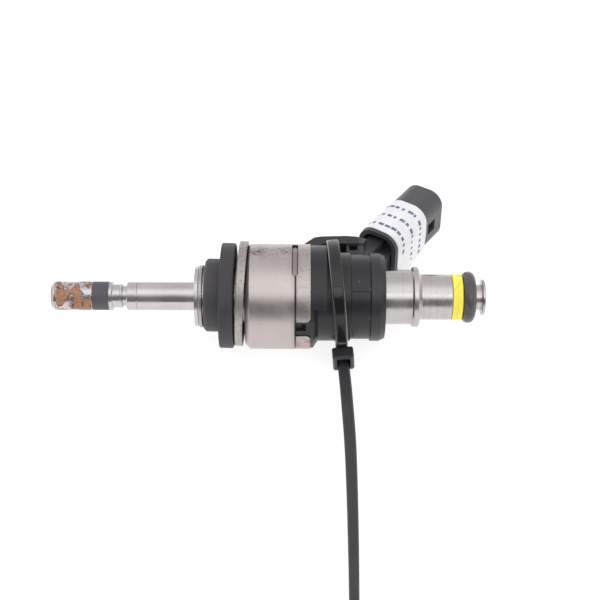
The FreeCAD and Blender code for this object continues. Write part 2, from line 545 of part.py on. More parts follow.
def rounded(body, name, placement, width, tall, radius, grow=0.0):
    """A rounded rectangle about the plug's axis; its sizes are bound to the sheet."""
    sk = body.newObject("Sketcher::SketchObject", name)
    sk.AttachmentSupport = [(plane(body, "XY_Plane"), "")]
    sk.MapMode = "FlatFace"
    sk.AttachmentOffset = placement
    w, t, r = 0.5 * val(width) + grow, 0.5 * val(tall) + grow, val(radius) + grow
    grown = " + %s" % grow if grow >= 0 else " - %s" % -grow
    sk.addGeometry(Part.LineSegment(V(-w + r, -t, 0), V(w - r, -t, 0)), False)
    sk.addGeometry(Part.ArcOfCircle(Part.Circle(V(w - r, -t + r, 0), Z_AXIS, r), -math.pi / 2, 0), False)
    sk.addGeometry(Part.LineSegment(V(w, -t + r, 0), V(w, t - r, 0)), False)
    sk.addGeometry(Part.ArcOfCircle(Part.Circle(V(w - r, t - r, 0), Z_AXIS, r), 0, math.pi / 2), False)
    sk.addGeometry(Part.LineSegment(V(w - r, t, 0), V(-w + r, t, 0)), False)
    sk.addGeometry(Part.ArcOfCircle(Part.Circle(V(-w + r, t - r, 0), Z_AXIS, r), math.pi / 2, math.pi), False)
    sk.addGeometry(Part.LineSegment(V(-w, t - r, 0), V(-w, -t + r, 0)), False)
    sk.addGeometry(Part.ArcOfCircle(Part.Circle(V(-w + r, -t + r, 0), Z_AXIS, r), math.pi, 1.5 * math.pi), False)
    for i in range(8):
        sk.addConstraint(Sketcher.Constraint("Tangent", i, 2, (i + 1) % 8, 1))
    for i in (0, 4):
        sk.addConstraint(Sketcher.Constraint("Horizontal", i))
    for i in (2, 6):
        sk.addConstraint(Sketcher.Constraint("Vertical", i))
    for i in (3, 5, 7):
        sk.addConstraint(Sketcher.Constraint("Equal", 1, i))
    k = sk.addConstraint(Sketcher.Constraint("Radius", 1, r))
    sk.setExpression("Constraints[%d]" % k, expr(radius) + grown)
    k = sk.addConstraint(Sketcher.Constraint("DistanceX", -1, 1, 2, 1, w))
    sk.setExpression("Constraints[%d]" % k, "0.5 * (%s)%s" % (expr(width), grown))
    k = sk.addConstraint(Sketcher.Constraint("DistanceX", 6, 1, -1, 1, w))
    sk.setExpression("Constraints[%d]" % k, "0.5 * (%s)%s" % (expr(width), grown))
    k = sk.addConstraint(Sketcher.Constraint("DistanceY", -1, 1, 4, 1, t))
    sk.setExpression("Constraints[%d]" % k, "0.5 * (%s)%s" % (expr(tall), grown))
    k = sk.addConstraint(Sketcher.Constraint("DistanceY", 0, 1, -1, 1, t))
    sk.setExpression("Constraints[%d]" % k, "0.5 * (%s)%s" % (expr(tall), grown))
    return sk


def prism(body, kind, name, profile, length):
    feature = body.newObject("PartDesign::" + kind, name)
    feature.Profile = profile
    feature.setExpression("Length", length)
    if kind == "Pocket":
        feature.Reversed = True
    body.Tip = feature
    doc.recompute()
    return feature


# plug shroud, open at the mouth and recessed behind the rear rim
def volume():
    doc.recompute()
    return mould.Shape.Volume


v0 = volume()
prism(mould, "Pad", "Shroud", rounded(mould, "ShroudProfile", con(0, 0, S["shroud_from"]),
      "shroud_w", "shroud_tall", "shroud_round"), "Sizes.shroud_to - Sizes.shroud_from")
v1 = volume()
prism(mould, "Pocket", "RearRecess", rounded(mould, "RearRecessProfile", con(0, 0, S["shroud_from"]),
      "shroud_w", "shroud_tall", "shroud_round", -S["shroud_wall"]), "Sizes.rim_depth")
v2 = volume()
prism(mould, "Pocket", "Socket", rounded(mould, "SocketProfile", con(0, 0, S["socket_floor"]),
      "shroud_w", "shroud_tall", "shroud_round", -S["shroud_wall"]),
      "Sizes.shroud_to - Sizes.socket_floor")
v3 = volume()
print("shroud %.1f, rear recess %.1f, socket %.1f" % (v1 - v0, v2 - v1, v3 - v2))
# neck from the barrel into the back of the plug: a low core and a higher slab
primitive(mould, "AdditiveBox", "NeckCore", con(S["core_x0"], S["neck_low"], S["neck_from"]),
          Length="neck_x1 - core_x0", Width="core_high - neck_low", Height="neck_to - neck_from")
primitive(mould, "AdditiveBox", "NeckSlab", con(S["slab_x0"], S["core_high"] - 0.1, S["neck_from"]),
          Length="neck_x1 - slab_x0", Width="slab_high - core_high + 0.1", Height="neck_to - neck_from")
# keying rib inside the socket, along the wall with the latch window
primitive(mould, "AdditiveBox", "KeyRib", con(-0.5 * S["shroud_w"] + 0.8, -3.6, S["socket_floor"] - 0.2),
          Length=1.1, Width=5.2, Height=12.0)
# latch window near the mouth, and the slots that hold the two terminals
notch_at = con(-0.5 * S["shroud_w"] - 0.5, -0.5 * S["notch_w"] - 0.1, S["shroud_to"] - 3.0 - S["notch_len"])
primitive(mould, "SubtractiveBox", "LatchWindow", notch_at, Length=2.0, Width="notch_w", Height="notch_len")
primitive(mould, "SubtractiveCylinder", "BoreClear", FreeCAD.Placement(V(S["x_pole_b"], 0, 0), TO_X),
          Radius="r_tube_a", Height="x_mould_b - x_pole_b + 6.0")
for tag, sgn in (("A", -1), ("B", 1)):
    y0 = sgn * 0.5 * S["terminal_gap"] - 0.5 * S["terminal_t"]
    primitive(mould, "SubtractiveBox", "TerminalSlot" + tag,
              con(-0.5 * S["terminal_w"], y0, S["terminal_root"]),
              Length="terminal_w", Width="terminal_t", Height="terminal_tip - terminal_root")
bodies.append(mould)
doc.recompute()

# ------------------------------------------------------------------ terminals
for tag, sgn in (("a", -1), ("b", 1)):
    term = new_body("terminal_" + tag)
    y0 = sgn * 0.5 * S["terminal_gap"] - 0.5 * S["terminal_t"]
    blade = primitive(term, "AdditiveBox", "Blade", con(-0.5 * S["terminal_w"], y0, S["terminal_root"]),
                      Length="terminal_w", Width="terminal_t", Height="terminal_tip - terminal_root")
    doc.recompute()
    tips = []
    for i, e in enumerate(blade.Shape.Edges):
        mid = e.valueAt(0.5 * (e.FirstParameter + e.LastParameter)) - ORG
        if abs(mid.dot(d) - S["terminal_tip"]) < 0.01 and e.Length > 0.6:
            tips.append("Edge%d" % (i + 1))
    point = term.newObject("PartDesign::Chamfer", "Point")
    point.Base = (blade, tips)
    point.Size = 0.2
    term.Tip = point
    bodies.append(term)

# ------------------------------------------------------------------ label round the shroud
label = new_body("label")
prism(label, "Pad", "Sheet", rounded(label, "SheetProfile", con(0, 0, S["label_from"]),
      "shroud_w", "shroud_tall", "shroud_round", S["label_gap"] + S["label_t"]), "Sizes.label_len")
v0 = label.Shape.Volume
prism(label, "Pocket", "Inside", rounded(label, "InsideProfile", con(0, 0, S["label_from"]),
      "shroud_w", "shroud_tall", "shroud_round", S["label_gap"]), "Sizes.label_len")
print("label %.1f after %.1f" % (v0, label.Shape.Volume))
# the two ends of the sheet stop short of each other underneath
primitive(label, "SubtractiveBox", "Ends", con(-3.0, -8.0, S["label_from"] - 1.0),
          Length=4.6, Width=4.0, Height="label_len + 2")
bodies.append(label)

# ------------------------------------------------------------------ cable tie
lean = rot(LOOK, S["tie_lean"])
if lean.multVec(UP).x > 0:
    lean = rot(LOOK, -S["tie_lean"])
tie_centre = UP * S["tie_rise"] + V(S["tie_x"], 0, 0)
band = turned("cable_tie_band", [
    ("- tie_half", "tie_in"), ("- tie_half", "tie_out - 0.2"), ("- tie_half + 0.25", "tie_out"),
    ("tie_half - 0.25", "tie_out"), ("tie_half", "tie_out - 0.2"), ("tie_half", "tie_in")])
# channel between two rails, from the front of the loop down to the head
channel_sketch = outline(band, "ChannelProfile", [
    ("- tie_half + 0.32", "tie_out - 0.5"), ("- tie_half + 0.32", "tie_out + 0.5"),
    ("tie_half - 0.32", "tie_out + 0.5"), ("tie_half - 0.32", "tie_out - 0.5")],
    offset=FreeCAD.Placement(V(0, 0, 0), rot(X_AXIS, 40.0 - 6.5)))
doc.recompute()
before = band.Shape.Volume
channel = band.newObject("PartDesign::Groove", "Channel")
channel.Profile = channel_sketch
channel.ReferenceAxis = (channel_sketch, ["H_Axis"])
channel.Angle = 79.0
band.Tip = channel
band.Placement = FreeCAD.Placement(tie_centre, lean)
doc.recompute()
print("channel removed", round(before - band.Shape.Volume, 3))
bodies.append(band)

# head: the strap passes through it from the back to the front
head_at = V(0, S["head_back"], S["head_up"] - 0.5 * S["head_len"])
head_x = S["tie_x"] + lean.multVec(head_at + V(0, -0.5 * S["head_h"], 0) - UP * S["tie_rise"]).x
FRONT, UPWARD = V(0, -1, 0), V(0, 0, 1)
head = new_body("cable_tie_head")
block = primitive(head, "AdditiveBox", "Block",
                  FreeCAD.Placement(V(-0.5 * S["head_w"], -0.5 * S["head_len"], 0), rot(Z_AXIS, 0)),
                  Length="head_w", Width="head_len", Height="head_h")
doc.recompute()
edges = ["Edge%d" % (i + 1) for i, e in enumerate(block.Shape.Edges)]
cham = head.newObject("PartDesign::Chamfer", "Corners")
cham.Base = (block, edges)
cham.Size = 0.35
head.Tip = cham
# the slot is low in the head; the pawl works in the window over it
slot_y = S["strap_up"] - S["head_up"] + 0.5 * S["head_len"]
primitive(head, "SubtractiveBox", "Slot",
          FreeCAD.Placement(V(-0.5 * S["tail_w"] - 0.16, slot_y - 0.70, -1.0), rot(Z_AXIS, 0)),
          Length="tail_w + 0.32", Width=1.4, Height="head_h + 2")
primitive(head, "SubtractiveBox", "PawlWindow",
          FreeCAD.Placement(V(-0.5 * S["tail_w"] - 0.16, slot_y + 0.3, 1.5), rot(Z_AXIS, 0)),
          Length="tail_w + 0.32", Width=1.95, Height=3.0)
# root where the loop grows out of the head
primitive(head, "AdditiveBox", "Root",
          FreeCAD.Placement(V(-S["tie_half"] + 0.1, 0.5 * S["head_len"] - 1.3, -0.75), rot(Z_AXIS, 0)),
          Length="tie_half + tie_half - 0.2", Width=1.0, Height=1.2)
head.Placement = FreeCAD.Placement(V(head_x, 0, 0) + head_at,
                                   lean.multiply(FreeCAD.Rotation(X_AXIS, UPWARD, FRONT, "ZXY")))
bodies.append(head)

# tail: a flat strap with a slight sideways curve, narrower towards its pointed end
TAIL = [(2.9, 30.13, 2.34), (0.0, 30.38, 2.38), (-5.07, 30.78, 2.42), (-11.95, 31.18, 2.42), (-21.4, 31.59, 2.36),
        (-30.44, 31.72, 2.24), (-43.27, 31.72, 2.07), (-55.31, 31.6, 1.9), (-64.6, 31.42, 1.84),
        (-68.2, 31.35, 0.8)]
tail = new_body("cable_tie_tail")
side_a = [(x - 0.5 * w, y) for y, x, w in TAIL]
side_b = [(x + 0.5 * w, y) for y, x, w in TAIL]
plan_sketch = outline(tail, "PlanProfile", side_a + side_b[::-1], role="XY_Plane")
strap = tail.newObject("PartDesign::Pad", "Strap")
strap.Profile = plan_sketch
strap.Midplane = True
strap.setExpression("Length", "Sizes.tail_t")
tail.Tip = strap
tail.Placement = FreeCAD.Placement(V(0, S["head_back"], S["strap_up"]), rot(X_AXIS, S["tail_drop"]))
bodies.append(tail)

# ------------------------------------------------------------------ write
doc.recompute()
bad = [o.Name for o in doc.Objects if "Invalid" in o.State or "Error" in o.State]
if bad:
    raise RuntimeError("failed objects: %s" % bad)
for body in bodies:
    shape = body.Shape
    if shape.isNull() or not shape.isValid() or shape.Volume <= 0:
        raise RuntimeError("bad shape: " + body.Label)
for old in os.listdir("parts"):
    if old.endswith(".step"):
        os.remove(os.path.join("parts", old))
for body in bodies:
    body.Shape.exportStep("parts/%s.step" % body.Label)
    b = body.Shape.BoundBox
    print("%-24s %d solid(s) vol %9.2f  X %7.2f %7.2f  Y %7.2f %7.2f  Z %7.2f %7.2f" % (
        body.Label, len(body.Shape.Solids), body.Shape.Volume, b.XMin, b.XMax, b.YMin, b.YMax, b.ZMin, b.ZMax))
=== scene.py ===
import bpy
import math
from mathutils import Vector, Matrix, Quaternion


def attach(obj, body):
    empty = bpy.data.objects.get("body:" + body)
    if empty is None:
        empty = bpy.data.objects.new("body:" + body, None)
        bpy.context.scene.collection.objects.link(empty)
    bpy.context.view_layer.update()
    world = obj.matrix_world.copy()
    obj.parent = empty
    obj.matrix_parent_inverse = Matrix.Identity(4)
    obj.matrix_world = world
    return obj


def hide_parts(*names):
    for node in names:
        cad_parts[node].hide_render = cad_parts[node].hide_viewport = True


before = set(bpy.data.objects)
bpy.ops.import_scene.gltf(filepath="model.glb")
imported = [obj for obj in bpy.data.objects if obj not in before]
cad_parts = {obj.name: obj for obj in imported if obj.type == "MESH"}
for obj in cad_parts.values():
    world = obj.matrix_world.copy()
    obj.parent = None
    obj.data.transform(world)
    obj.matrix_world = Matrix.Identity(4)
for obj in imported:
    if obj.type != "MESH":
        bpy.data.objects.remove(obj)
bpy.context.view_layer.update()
MM = 0.001
C50, S50 = math.cos(math.radians(50)), math.sin(math.radians(50))
LOOK = Vector((0, -C50, S50))      # from the axis up towards the front
UP = Vector((0, S50, C50))
X = Vector((1, 0, 0))


def around(deg):
    a = math.radians(deg)
    return LOOK * math.cos(a) + UP * math.sin(a)


# the plug's own frame: D along the plug, XP towards the housing, YP upwards
CA, DA = math.radians(56), math.radians(10)
D = Vector((math.cos(CA), math.sin(CA) * math.cos(DA), -math.sin(CA) * math.sin(DA)))
XP = Vector((-math.sin(CA), math.cos(CA) * math.cos(DA), -math.cos(CA) * math.sin(DA)))
YP = D.cross(XP)
ORG = Vector((28.6, 0, 0))


def con(x, y, z):
    return (ORG + XP * x + YP * y + D * z) * MM


# ------------------------------------------------------------------ camera
scene = bpy.context.scene
DIST = 0.266
TARGET = Vector((0.02153, 0, 0))
cam_data = bpy.data.cameras.new("Camera")
cam = bpy.data.objects.new("Camera", cam_data)
scene.collection.objects.link(cam)
cam.location = TARGET + LOOK * DIST
cam.rotation_mode = "QUATERNION"
cam.rotation_quaternion = (-LOOK).to_track_quat("-Z", "Y") @ Quaternion((0, 0, 1), math.radians(0.22))
cam_data.sensor_width = 36.0
cam_data.lens = 36.0 * (DIST / 0.000207) / 600.0
cam_data.shift_y = -3.5 / 600.0
cam_data.clip_start = 0.01
cam_data.clip_end = 20.0
scene.camera = cam

# ------------------------------------------------------------------ light
scene.view_settings.view_transform = "Standard"
scene.view_settings.look = "None"
scene.view_settings.exposure = 0.0

world = bpy.data.worlds.new("Studio")
scene.world = world
world.use_nodes = True
wn, wl = world.node_tree.nodes, world.node_tree.links
wn.clear()
w_out = wn.new("ShaderNodeOutputWorld")
w_bg = wn.new("ShaderNodeBackground")
w_tc = wn.new("ShaderNodeTexCoord")
w_sep = wn.new("ShaderNodeSeparateXYZ")
w_ramp = wn.new("ShaderNodeValToRGB")
# the angle round the injector's axis: 0 at the front horizon, 90 overhead, 180 behind
w_neg = wn.new("ShaderNodeMath")
w_neg.operation = "MULTIPLY"
w_neg.inputs[1].default_value = -1.0
w_atan = wn.new("ShaderNodeMath")
w_atan.operation = "ARCTAN2"
w_map = wn.new("ShaderNodeMapRange")
w_map.inputs["From Min"].default_value = -math.pi
w_map.inputs["From Max"].default_value = math.pi
wl.new(w_tc.outputs["Generated"], w_sep.inputs[0])
wl.new(w_sep.outputs["Y"], w_neg.inputs[0])
wl.new(w_sep.outputs["Z"], w_atan.inputs[0])
wl.new(w_neg.outputs[0], w_atan.inputs[1])
wl.new(w_atan.outputs[0], w_map.inputs["Value"])
wl.new(w_map.outputs["Result"], w_ramp.inputs["Fac"])
wl.new(w_ramp.outputs["Color"], w_bg.inputs["Color"])
wl.new(w_bg.outputs["Background"], w_out.inputs["Surface"])
ramp = w_ramp.color_ramp


def turn_at(deg):
    return (deg + 180.0) / 360.0


SKY = [(-2, 0.36), (6, 0.23), (36, 0.25), (50, 0.44), (62, 1.05), (76, 1.50), (92, 1.36), (108, 1.02), (122, 0.82),
       (150, 0.86), (182, 0.88)]
ramp.elements[0].position = 0.0
ramp.elements[0].color = (0.5, 0.5, 0.5, 1)
ramp.elements[1].position = 1.0
ramp.elements[1].color = (0.5, 0.5, 0.5, 1)
for deg, c in SKY:
    e = ramp.elements.new(turn_at(deg))
    e.color = (c / 1.5, c / 1.5 * 0.985, c / 1.5 * 0.99, 1)
w_bg.inputs["Strength"].default_value = 1.5


def area(name, place, aim, size, power, size_y=None, colour=(1, 1, 1)):
    data = bpy.data.lights.new(name, "AREA")
    data.energy = power
    data.color = colour
    data.size = size
    if size_y:
        data.shape = "RECTANGLE"
        data.size_y = size_y
    o = bpy.data.objects.new(name, data)
    scene.collection.objects.link(o)
    o.location = place
    o.rotation_mode = "QUATERNION"
    o.rotation_quaternion = (Vector(aim) - Vector(place)).to_track_quat("-Z", "Y")
    return o


def panel(name, phi, dist, x_mid, size_x, size_y, radiance, aim=(0.02, 0, 0), colour=(1, 1, 1)):
    a = math.radians(phi)
    place = Vector((x_mid, -math.cos(a) * dist, math.sin(a) * dist))
    return area(name, place, (x_mid, aim[1], aim[2]), size_x, radiance * math.pi * size_x * size_y, size_y, colour)


panel("FrontRight", 53.0, 0.62, 0.275, 0.60, 0.24, 1.25)

# ------------------------------------------------------------------ mesh helper
def mesh_object(name, verts, faces, smooth=True, material=None):
    me = bpy.data.meshes.new(name)
    me.from_pydata([tuple(v) for v in verts], [], faces)
    me.validate()
    if smooth:
        for p in me.polygons:
            p.use_smooth = True
    o = bpy.data.objects.new(name, me)
    scene.collection.objects.link(o)
    if material is not None:
        me.materials.append(material)
    return o


# ------------------------------------------------------------------ materials
class Graph:
    """A small helper that builds one material's node graph."""

    def __init__(self, name):
        self.m = bpy.data.materials.new(name)
        self.m.use_nodes = True
        self.n = self.m.node_tree.nodes
        self.l = self.m.node_tree.links
        self.p = self.n["Principled BSDF"]
        self.tc = None

    def node(self, kind, **props):
        nd = self.n.new(kind)
        for k, v in props.items():
            setattr(nd, k, v)
        return nd

    def put(self, socket, value):
        if isinstance(value, bpy.types.NodeSocket):
            self.l.new(value, socket)
        elif isinstance(value, (tuple, list)) and len(value) == 3 and socket.type == "RGBA":
            socket.default_value = (*value, 1)
        else:
            socket.default_value = value

    def set(self, **values):
        names = {"color": "Base Color", "metal": "Metallic", "rough": "Roughness", "normal": "Normal",
                 "spec": "Specular IOR Level", "coat": "Coat Weight", "coat_rough": "Coat Roughness",
                 "sheen": "Sheen Weight", "ior": "IOR", "sss": "Subsurface Weight"}
        for k, v in values.items():
            self.put(self.p.inputs[names[k]], v)

    def obj(self):
        if self.tc is None:
            self.tc = self.node("ShaderNodeTexCoord")
        return self.tc.outputs["Object"]

    def uv(self):
        if self.tc is None:
            self.tc = self.node("ShaderNodeTexCoord")
        return self.tc.outputs["UV"]

    def xyz(self, vec=None):
        s = self.node("ShaderNodeSeparateXYZ")
        self.l.new(vec or self.obj(), s.inputs[0])
        return s.outputs

    def scaled(self, scale, vec=None, rotation=(0, 0, 0), location=(0, 0, 0)):
        mp = self.node("ShaderNodeMapping")
        self.l.new(vec or self.obj(), mp.inputs["Vector"])
        mp.inputs["Scale"].default_value = scale
        mp.inputs["Rotation"].default_value = rotation
        mp.inputs["Location"].default_value = location
        return mp.outputs["Vector"]

    def noise(self, scale, detail=3.0, rough=0.55, vec=None, distortion=0.0):
        t = self.node("ShaderNodeTexNoise")
        self.l.new(vec or self.obj(), t.inputs["Vector"])
        t.inputs["Scale"].default_value = scale
        t.inputs["Detail"].default_value = detail
        t.inputs["Roughness"].default_value = rough
        t.inputs["Distortion"].default_value = distortion
        return t.outputs["Fac"]

    def math(self, op, a, b=0.5, c=0.0, clamp=False):
        t = self.node("ShaderNodeMath", operation=op, use_clamp=clamp)
        self.put(t.inputs[0], a)
        self.put(t.inputs[1], b)
        self.put(t.inputs[2], c)
        return t.outputs[0]

    def mix(self, fac, a, b, blend="MIX"):
        t = self.node("ShaderNodeMix", data_type="RGBA", blend_type=blend)
        self.put(t.inputs[0], fac)
        self.put(t.inputs[6], a)
        self.put(t.inputs[7], b)
        return t.outputs[2]

    def between(self, value, lo, hi, out_lo=0.0, out_hi=1.0, smooth=True):
        t = self.node("ShaderNodeMapRange", interpolation_type="SMOOTHSTEP" if smooth else "LINEAR")
        self.put(t.inputs["Value"], value)
        t.inputs["From Min"].default_value = lo
        t.inputs["From Max"].default_value = hi
        t.inputs["To Min"].default_value = out_lo
        t.inputs["To Max"].default_value = out_hi
        return t.outputs["Result"]

    def ramp(self, fac, stops):
        t = self.node("ShaderNodeValToRGB")
        self.l.new(fac, t.inputs["Fac"])
        el = t.color_ramp.elements
        el[0].position, el[0].color = stops[0][0], (*stops[0][1], 1)
        el[1].position, el[1].color = stops[-1][0], (*stops[-1][1], 1)
        for p, c in stops[1:-1]:
            e = el.new(p)
            e.color = (*c, 1)
        return t.outputs["Color"]

    def specks(self, scale, keep, radius, vec=None):
        """Small round dots in a few of the cells of a grid of the given scale."""
        t = self.node("ShaderNodeTexVoronoi")
        self.l.new(vec or self.obj(), t.inputs["Vector"])
        t.inputs["Scale"].default_value = scale
        near = self.between(t.outputs["Distance"], radius * 0.6, radius, 1.0, 0.0)
        s = self.node("ShaderNodeSeparateColor")
        self.l.new(t.outputs["Color"], s.inputs[0])
        chosen = self.math("GREATER_THAN", s.outputs[0], 1.0 - keep)
        return self.math("MULTIPLY", near, chosen)

    def bump(self, height, strength=0.2, distance=0.00005, normal=None):
        t = self.node("ShaderNodeBump")
        self.put(t.inputs["Height"], height)
        t.inputs["Strength"].default_value = strength
        t.inputs["Distance"].default_value = distance
        if normal is not None:
            self.l.new(normal, t.inputs["Normal"])
        return t.outputs["Normal"]

    def soft_edges(self, radius):
        t = self.node("ShaderNodeBevel", samples=6)
        t.inputs["Radius"].default_value = radius
        return t.outputs["Normal"]

    def worn(self, width=0.00012):
        """1 on convex edges, 0 on flats."""
        g = self.node("ShaderNodeNewGeometry")
        return self.between(g.outputs["Pointiness"], 0.51, 0.56)


def turned_metal(name, colour, rough, line=0.15, dirt=0.25, soot=(0.10, 0.085, 0.075), edge=0.00012,
                 extra=None, lines_scale=2600.0, streak=0.05):
    g = Graph(name)
    # fine circumferential tool lines: the pattern changes along X and hardly around it
    lines = g.noise(1.0, 4.0, 0.65, g.scaled((lines_scale, 45.0, 45.0)))
    broad = g.noise(1.0, 3.0, 0.5, g.scaled((260.0, 160.0, 160.0)))
    fine = g.noise(5200.0, 2.0, 0.6)
    tone = g.between(lines, 0.35, 0.65, 1.0 - streak, 1.0 + streak, smooth=False)
    tone = g.math("MULTIPLY", tone, g.between(broad, 0.3, 0.7, 0.95, 1.05))
    scale = g.node("ShaderNodeVectorMath", operation="SCALE")
    scale.inputs[0].default_value = colour
    g.l.new(tone, scale.inputs["Scale"])
    base = scale.outputs["Vector"]
    cloud = g.noise(420.0, 5.0, 0.65)
    grime = g.math("MULTIPLY", g.between(cloud, 0.56, 0.78), dirt)
    base = g.mix(grime, base, soot)
    dots = g.specks(1300.0, 0.16, 0.16)
    base = g.mix(g.math("MULTIPLY", dots, min(1.0, dirt * 2.2)), base, soot)
    rgh = g.math("ADD", g.between(broad, 0.25, 0.75, rough - 0.05, rough + 0.07),
                 g.math("MULTIPLY", grime, 0.35))
    rgh = g.math("ADD", rgh, g.math("MULTIPLY", g.math("SUBTRACT", lines, 0.5), 0.10))
    if extra is not None:
        base, rgh = extra(g, base, rgh)
    scratch = g.noise(1.0, 2.0, 0.4, g.scaled((900.0, 5200.0, 300.0), rotation=(0.3, 0.5, 0.4)))
    height = g.math("ADD", g.math("MULTIPLY", lines, line), g.math("MULTIPLY", fine, 0.05))
    height = g.math("ADD", height, g.math("MULTIPLY", g.between(scratch, 0.70, 0.74), -0.25))
    g.set(color=base, metal=1.0, rough=rgh,
          normal=g.bump(height, 0.35, 0.000012, g.soft_edges(edge)))
    return g


def radial_angle(g):
    """The direction round the axis in degrees, 0 at LOOK and 90 at UP."""
    s = g.xyz()
    a = g.math("ADD", g.math("MULTIPLY", s["Y"], LOOK.y), g.math("MULTIPLY", s["Z"], LOOK.z))
    b = g.math("ADD", g.math("MULTIPLY", s["Y"], UP.y), g.math("MULTIPLY", s["Z"], UP.z))
    return g.math("DEGREES", g.math("ARCTAN2", b, a)), s["X"]


def window(g, value, lo, hi, soft):
    """1 inside lo..hi with soft shoulders."""
    return g.math("MULTIPLY", g.between(value, lo - soft, lo + soft), g.between(value, hi - soft, hi + soft, 1.0, 0.0))


# housing: stain near the top, brown tint, soot specks, paint smear on the low tab
def shell_extra(g, base, rgh):
    ang, x = radial_angle(g)
    zone = g.math("MULTIPLY", window(g, ang, 46.0, 66.0, 7.0), window(g, x, 0.0112, 0.0200, 0.0012))
    patch = g.between(g.noise(1.0, 6.0, 0.74, g.scaled((620.0, 1100.0, 1100.0)), distortion=0.4), 0.49, 0.66)
    patch = g.math("MULTIPLY", patch, zone)
    veil = g.math("MULTIPLY", zone, g.between(g.noise(420.0, 3.0, 0.6), 0.40, 0.62))
    base = g.mix(g.math("MULTIPLY", veil, 0.22), base, (0.16, 0.125, 0.115))
    base = g.mix(g.math("MULTIPLY", patch, 0.80), base, (0.060, 0.046, 0.042))
    rust_zone = g.math("MULTIPLY", window(g, ang, 52.0, 66.0, 4.0), window(g, x, 0.0172, 0.0202, 0.0008))
    rust = g.math("MULTIPLY", rust_zone, g.between(g.noise(1250.0, 4.0, 0.6), 0.46, 0.62))
    base = g.mix(g.math("MULTIPLY", rust, 0.55), base, (0.26, 0.075, 0.05))
    band = window(g, x, 0.0204, 0.0245, 0.00015)
    base = g.mix(g.math("MULTIPLY", band, 0.16), base, (0.28, 0.26, 0.25))
    rough_spots = g.math("MULTIPLY", band, g.between(g.noise(2300.0, 4.0, 0.7), 0.50, 0.66))
    base = g.mix(g.math("MULTIPLY", rough_spots, 0.35), base, (0.15, 0.135, 0.13))
    s = g.xyz()
    rad = g.math("SQRT", g.math("ADD", g.math("MULTIPLY", s["Y"], s["Y"]), g.math("MULTIPLY", s["Z"], s["Z"])))
    # painted shade: the slot's walls are darkened, and the surface inside them a little
    painted_wall_shade_and_highlight = g.math("MULTIPLY", window(g, rad, 0.01042, 0.01083, 0.00003), window(g, x, 0.0198, 0.0212, 0.0001))
    base = g.mix(g.math("MULTIPLY", painted_wall_shade_and_highlight, 0.93), base, (0.035, 0.030, 0.030))
    inside = g.math("MULTIPLY", g.between(rad, 0.01041, 0.01043, 1.0, 0.0), window(g, x, 0.0198, 0.0212, 0.0001))
    base = g.mix(g.math("MULTIPLY", inside, 0.10), base, (0.10, 0.09, 0.09))
    # painted shade: a dark outline round each slot's mouth, and its inside a little darker
    for middle in (49.5, -130.5):
        c = g.math("MULTIPLY", g.math("SUBTRACT", ang, middle), math.pi / 180.0 * 10.85)
        c = g.math("MAXIMUM", g.math("SUBTRACT", g.math("ABSOLUTE", c), 4.54), 0.0)
        dx = g.math("MULTIPLY", g.math("SUBTRACT", x, 0.0205), 1000.0)
        dist = g.math("SUBTRACT", g.math("SQRT", g.math("ADD", g.math("MULTIPLY", c, c), g.math("MULTIPLY", dx, dx))), 0.56)
        line = window(g, dist, -0.13, 0.07, 0.05)
        base = g.mix(g.math("MULTIPLY", line, 0.90), base, (0.045, 0.038, 0.036))
        pit_painted_shade = g.between(dist, -0.16, -0.10, 1.0, 0.0)
        base = g.mix(g.math("MULTIPLY", pit_painted_shade, 0.35), base, (0.16, 0.14, 0.13))
    smear_zone = g.math("MULTIPLY", window(g, ang, -72.0, -52.0, 4.0), window(g, x, 0.0209, 0.0240, 0.0004))
    smear = g.math("MULTIPLY", smear_zone, g.between(g.noise(520.0, 4.0, 0.6, distortion=0.4), 0.38, 0.66))
    base = g.mix(g.math("MULTIPLY", smear, 0.62), base, (0.52, 0.12, 0.14))
    rgh = g.math("ADD", rgh, g.math("MULTIPLY", g.math("ADD", patch, smear), 0.25))
    return base, rgh


